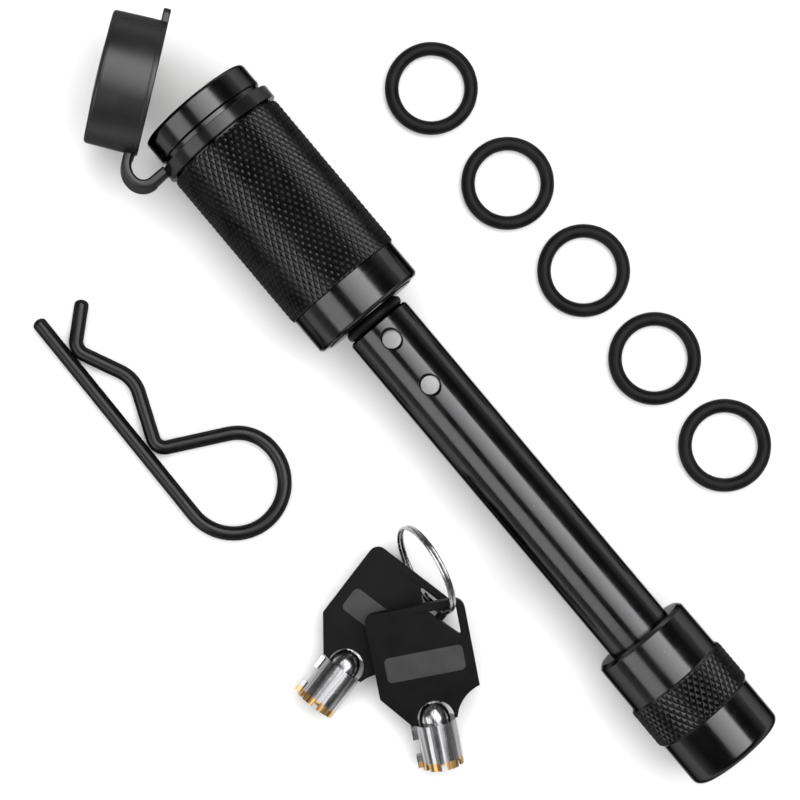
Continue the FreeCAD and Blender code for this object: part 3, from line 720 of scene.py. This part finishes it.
def make_housing():
    """The knurled body of the head, with the groove of the cap's ring and the lock's hole."""
    start, stop = span("housing")
    wall = 14.2
    groove = start + 41.2
    groove_floor = 13.45
    rim = groove + 5.4
    # A snap ring's groove inside the lock's hole, just behind the face.
    snap_front = stop - 1.98
    snap_rear = stop - 3.08
    snap_floor = 10.3
    # The wall between the lock and the pin, with the spindle's hole.
    wall_front = 81.6
    wall_rear = 79.5
    spindle_hole = 2.8
    corners = [
        (start, HEAD_INSIDE, 0), (start, wall, 0), (groove, wall, 0), (groove, groove_floor, 0.15),
        (rim - 0.35, groove_floor, 0.1), (rim - 0.35, 13.75, 0.05), (rim, 14.0, 0.15),
        (stop, 14.0, 0.9), (stop, 9.9, 0.1), (stop - 0.4, LOCK_HOLE, 0.1),
        (snap_front, LOCK_HOLE, 0), (snap_front, snap_floor, 0),
        (snap_rear, snap_floor, 0), (snap_rear, LOCK_HOLE, 0),
        (wall_front, LOCK_HOLE, 0), (wall_front, spindle_hole, 0),
        (wall_rear, spindle_hole, 0), (wall_rear, HEAD_INSIDE, 0),
    ]
    band = Knurl(start=start, stop=groove, tip=14.6, depth=0.38, diamonds=60, half_rows=32,
                 chamfer=0.4)
    mesh = lathed("lock_housing", corners, knurl=band)
    piece("lock_housing", "lock_head", mesh, COAT, replaced=("housing",),
          knurl=KNURL_COAT_PAINTED_SHADE)


def make_collar():
    """The head's smooth end, stepped at its face and spigoted into the housing."""
    face, stop = span("base_collar")
    shoulder = face + 9.6
    wall = 14.0
    corners = [
        (face, PIN_HOLE, 0), (face, 11.7, 0.1), (face + 0.25, 11.75, 0.05),
        (face + 0.45, 13.4, 0.15), (face + 1.05, wall, 0.2), (shoulder, wall, 0.25),
        (shoulder, HEAD_INSIDE, 0), (stop, HEAD_INSIDE, 0), (stop, PIN_HOLE, 0),
    ]
    mesh = lathed("collar", corners)
    piece("collar", "lock_head", mesh, COAT, replaced=("base_collar",))


def make_cap_ring():
    """The ring of the cap's moulding, which sits in the housing's groove."""
    start, stop = span("cap_ring")
    corners = [(start, 13.5, 0.1), (start, 14.95, 0.15), (stop, 15.0, 0.2), (stop, 13.5, 0.1)]
    mesh = lathed("head_band", corners)
    piece("head_band", "lock_head", mesh, band_rubber(), replaced=("cap_ring",))


# The open cap: the middle of its mouth, and the turns that point its end; the second lifts it.
CAP_MOUTH = (117.08, 4.98, 0.99)
CAP_HEADING = math.radians(36.75)
CAP_TILT = math.radians(-6.8)
CAP_PLACE = (Matrix.Translation(CAP_MOUTH) @ Matrix.Rotation(CAP_HEADING, 4, "Z")
             @ Matrix.Rotation(CAP_TILT, 4, "Y"))


def make_cap():
    """The dust cap: a cup with fine moulding lines, a crowned end and a pull tab."""
    inside = 14.7
    end_inside = 10.6
    corners = [
        (0, inside, 0.2), (0, 15.45, 0.3), (0.95, 15.45, 0.12), (1.05, 15.36, 0.05),
        (1.2, 15.36, 0.05), (1.3, 15.43, 0.1), (11.5, 15.27, 0.05), (11.6, 15.18, 0.04),
        (11.7, 15.26, 0.05), (12.4, 15.25, 0.8), (12.55, 11.0, 3.0), (12.8, 5.0, 3.0),
        (12.88, 0, 0), (end_inside, 0, 0), (end_inside, inside, 0.5),
    ]
    cup = lathed("cup", corners)
    tab_thick = 1.7
    root = 14.9
    end = 18.2
    half = 3.5
    corner = 1.6
    outline = filleted([(root, -half, 0), (end, -half, corner), (end, half, corner), (root, half, 0)])
    tab = plate("tab", [outline], tab_thick, edge=0.4)
    # The plate's X becomes the cap's -Y, and its thickness runs along the cap's axis.
    tab.transform(Matrix(((0, 0, 1, tab_thick / 2), (-1, 0, 0, 0), (0, 1, 0, 0), (0, 0, 0, 1))))
    mesh = joined("cap", [cup, tab])
    piece("cap", "cap", mesh, CAP_RUBBER, place=CAP_PLACE, replaced=("dust_cap",))


def make_strap():
    """The band that ties the cap to its ring: a sharp U bend with a flared lower edge."""
    bends = [(101.15, 14.3, 0), (101.15, 21.35, 3.3), (107.3, 21.35, 4.8), (109.7, 17.9, 0)]
    path = filleted(bends, steps=14, closed=False)
    around = 36
    half_thick = 1.1
    half_high = 3.25
    # The section's corners: 0 would leave them sharp, and 1 makes the section an ellipse.
    softness = 0.45
    # The lower edge stands out by this much, and less on the inside of the bend.
    flare = 1.5
    inner_share = 0.6
    shape = bmesh.new()
    rings = []
    for number, spot in enumerate(path):
        before = path[max(number - 1, 0)]
        after = path[min(number + 1, len(path) - 1)]
        way = (after - before).normalized()
        out = Vector((-way.y, way.x))
        share = number / (len(path) - 1)
        swell = math.sin(math.pi * share) ** 0.7
        ring = []
        for turn in range(around):
            angle = math.tau * turn / around
            wide = math.copysign(abs(math.cos(angle)) ** softness, math.cos(angle)) * half_thick
            high = math.copysign(abs(math.sin(angle)) ** softness, math.sin(angle)) * half_high
            low = (half_high - high) / (2 * half_high)
            spread = flare * swell * low ** 1.6 * (1 if wide > 0 else inner_share)
            place = spot + out * (wide + spread)
            ring.append(shape.verts.new((place.x, place.y, high)))
        rings.append(ring)
    skin(shape, rings)
    made = piece("strap", None, finished(shape, "strap", crease=50), CAP_RUBBER,
                 replaced=("tether",))
    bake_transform(made)


# ---------------------------------------------------------------- the loose pieces

def make_o_rings():
    """Moulded rings: a round section with the thin flash line of the mould at half its height."""
    rubber = seal_rubber()
    steps = 40
    middle_radius = 9.125
    half_high = 1.56
    half_wide = 1.555
    flash = 0.02
    profile = []
    for turn in range(steps):
        angle = math.tau * turn / steps
        proud = flash if turn in (0, steps // 2) else 0
        profile.append((half_high * math.sin(angle),
                        middle_radius + (half_wide + proud) * math.cos(angle), 0))
    for number in range(1, 6):
        node = f"o_ring_{number}"
        low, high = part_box(node)
        middle = [(a + b) / 2 / MM for a, b in zip(low, high)]
        lie = Matrix.Translation(middle) @ Matrix.Rotation(math.radians(90), 4, "Y")
        piece(f"spare_seal_{number}", f"spare_ring_{number}", lathed(node, profile, columns=128),
              rubber, place=lie, replaced=(node,))
    dress(rubber, "neck_seal")


def make_r_clip():
    """The spring clip, bent from one wire: a straight leg, a loop and a waved leg."""
    bends = [
        (95.7, 59.5, 0), (26.25, 60.75, 11.8), (26.25, 37.05, 11.8), (44.5, 37.05, 10.3),
        (55.2, 57.5, 2.8), (71.03, 50.88, 8.0), (84.85, 57.2, 3.4), (92.6, 48.4, 0),
    ]
    wire_radius = 1.65
    low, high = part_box("r_clip")
    height = (low[2] + high[2]) / 2 / MM
    path = [Vector((spot.x, spot.y, height)) for spot in filleted(bends, steps=16, closed=False)]
    # The path stops short of the wire's ends by its domes, so that they stay inside the design's.
    short = 1.2
    path[0] = path[0] + (path[1] - path[0]).normalized() * short
    path[-1] = path[-1] + (path[-2] - path[-1]).normalized() * short
    wire = tube("clip", path, wire_radius)
    piece("clip", "clip", wire, black_wire(), replaced=("r_clip",))


# Each key's own origin, its height counted from the floor, then its heading and slope in
# degrees. In a key's own frame its head rises from y = 0 and its barrel points to -Y.
KEYS = {
    "key_a": ((-33.30, 47.79, 6.9), 241.0, 11.0),
    "key_b": ((-10.90, 56.72, 5.0), 192.5, 0.0),
}
KEY_TIP = (-0.3, -10.7, 0)
KEY_BARE_BRASS = 1.8
KEY_THICK = 2.5


def arc_between(start, stop, radius, side, steps=14):
    """Points on an arc, without its start; side is 1 where its centre is left of the way."""
    start = Vector(start)
    stop = Vector(stop)
    way = stop - start
    left = Vector((-way.y, way.x)).normalized()
    centre = (start + stop) / 2 + left * side * math.sqrt(radius ** 2 - (way.length / 2) ** 2)
    sweep = (start - centre).angle_signed(stop - centre)
    return [centre + Matrix.Rotation(-sweep * step / steps, 2) @ (start - centre)
            for step in range(1, steps + 1)]


def key_rim():
    """The head's outline, with a round window at its foot for the barrel's dome."""
    foot_left = Vector((-5.8, 0))
    foot_right = Vector((4.85, 0))
    shoulder = Vector((11.2, 6.5))
    window = 4.2
    window_up = 0.7
    half_gap = math.sqrt(window ** 2 - window_up ** 2)
    lean = math.asin(window_up / window)
    steps = 30
    rim = [foot_left, Vector((-half_gap, 0))]
    for step in range(1, steps + 1):
        angle = math.pi + lean - (math.pi + 2 * lean) * step / steps
        rim.append(Vector((window * math.cos(angle), window_up + window * math.sin(angle))))
    rim.append(foot_right)
    rim += arc_between(foot_right, shoulder, 9.0, -1)
    rim += filleted([(*shoulder, 0), (11.2, 27.5, 2.6), (-11.7, 27.5, 2.3), (-11.7, 7.5, 0.6),
                     (*foot_left, 0)], closed=False)[1:-1]
    return rim


def panel_outline(inset):
    """The head's blank panel: a rounded rectangle, drawn in by inset."""
    left = -9.2 + inset
    right = 9.0 - inset
    low = 10.8 + inset
    high = 16.9 - inset
    corner = 1.2 - inset
    return filleted([(left, low, corner), (right, low, corner),
                     (right, high, corner), (left, high, corner)])


def both_sides(outline, thick, edge, height):
    """Two plates of one outline, at this height above and below the key's middle."""
    made = []
    for side in (1, -1):
        mesh = plate("panel", [outline], thick, edge)
        mesh.transform(Matrix.Translation((0, 0, side * height)))
        made.append(mesh)
    return made


def make_keys():
    """Two tubular keys: plastic heads with a ring hole and blank panels, on the design's barrels."""
    plastic = key_plastic()
    grey = key_panel()
    hole = filleted([(2.5, 25.7, 0.25), (9.2, 25.7, 0.3), (9.2, 18.6, 0.25)])
    for name, (origin, heading, slope) in KEYS.items():
        place = (Matrix.Translation((origin[0], origin[1], origin[2] + FLOOR / MM))
                 @ Matrix.Rotation(math.radians(heading), 4, "Z")
                 @ Matrix.Rotation(math.radians(slope), 4, "X"))
        blank = plate(f"{name}_blank", [key_rim(), hole], KEY_THICK, edge=0.3)
        pockets = both_sides(panel_outline(0), thick=1.0, edge=0.02, height=1.55)
        grip = carved(blank, pockets)
        shape = bmesh.new()
        shape.from_mesh(grip)
        bpy.data.meshes.remove(grip)
        piece(f"{name}_grip", name, finished(shape, f"{name}_grip"), plastic,
              place=place, replaced=(f"{name}_head",))
        panels = both_sides(panel_outline(0.05), thick=0.24, edge=0.06, height=1.04)
        inlay = joined(f"{name}_inlay", panels)
        piece(f"{name}_inlay", name, inlay, grey, place=place)
        way = place.to_3x3() @ Vector((0, -1, 0))
        tip = (place @ Vector(KEY_TIP)) * MM
        dress(key_chrome(f"{name}_chrome", tip, way, KEY_BARE_BRASS), f"{name}_tube")


def dress(look, *nodes):
    """Gives a finished material to CAD nodes that keep their own shape."""
    for node in nodes:
        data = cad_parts[node].data
        data.materials.clear()
        data.materials.append(look)


set_camera()
set_lights()
set_world()
make_floor()

dress(COAT, "shaft")
dress(ring_steel(), "split_ring")
dress(bare_steel(), "ball_carrier", "locking_ball_1", "locking_ball_2", "locking_ball_3", "cam_cup",
      "circlip", "spindle", "pin_springs")
dress(lock_brass(), "lock_shell", "lock_rotor", "pin_bushing", "driver_pins", "key_pins")
make_knob()
make_housing()
make_collar()
make_cap_ring()
make_cap()
make_strap()
make_o_rings()
make_r_clip()
make_keys()
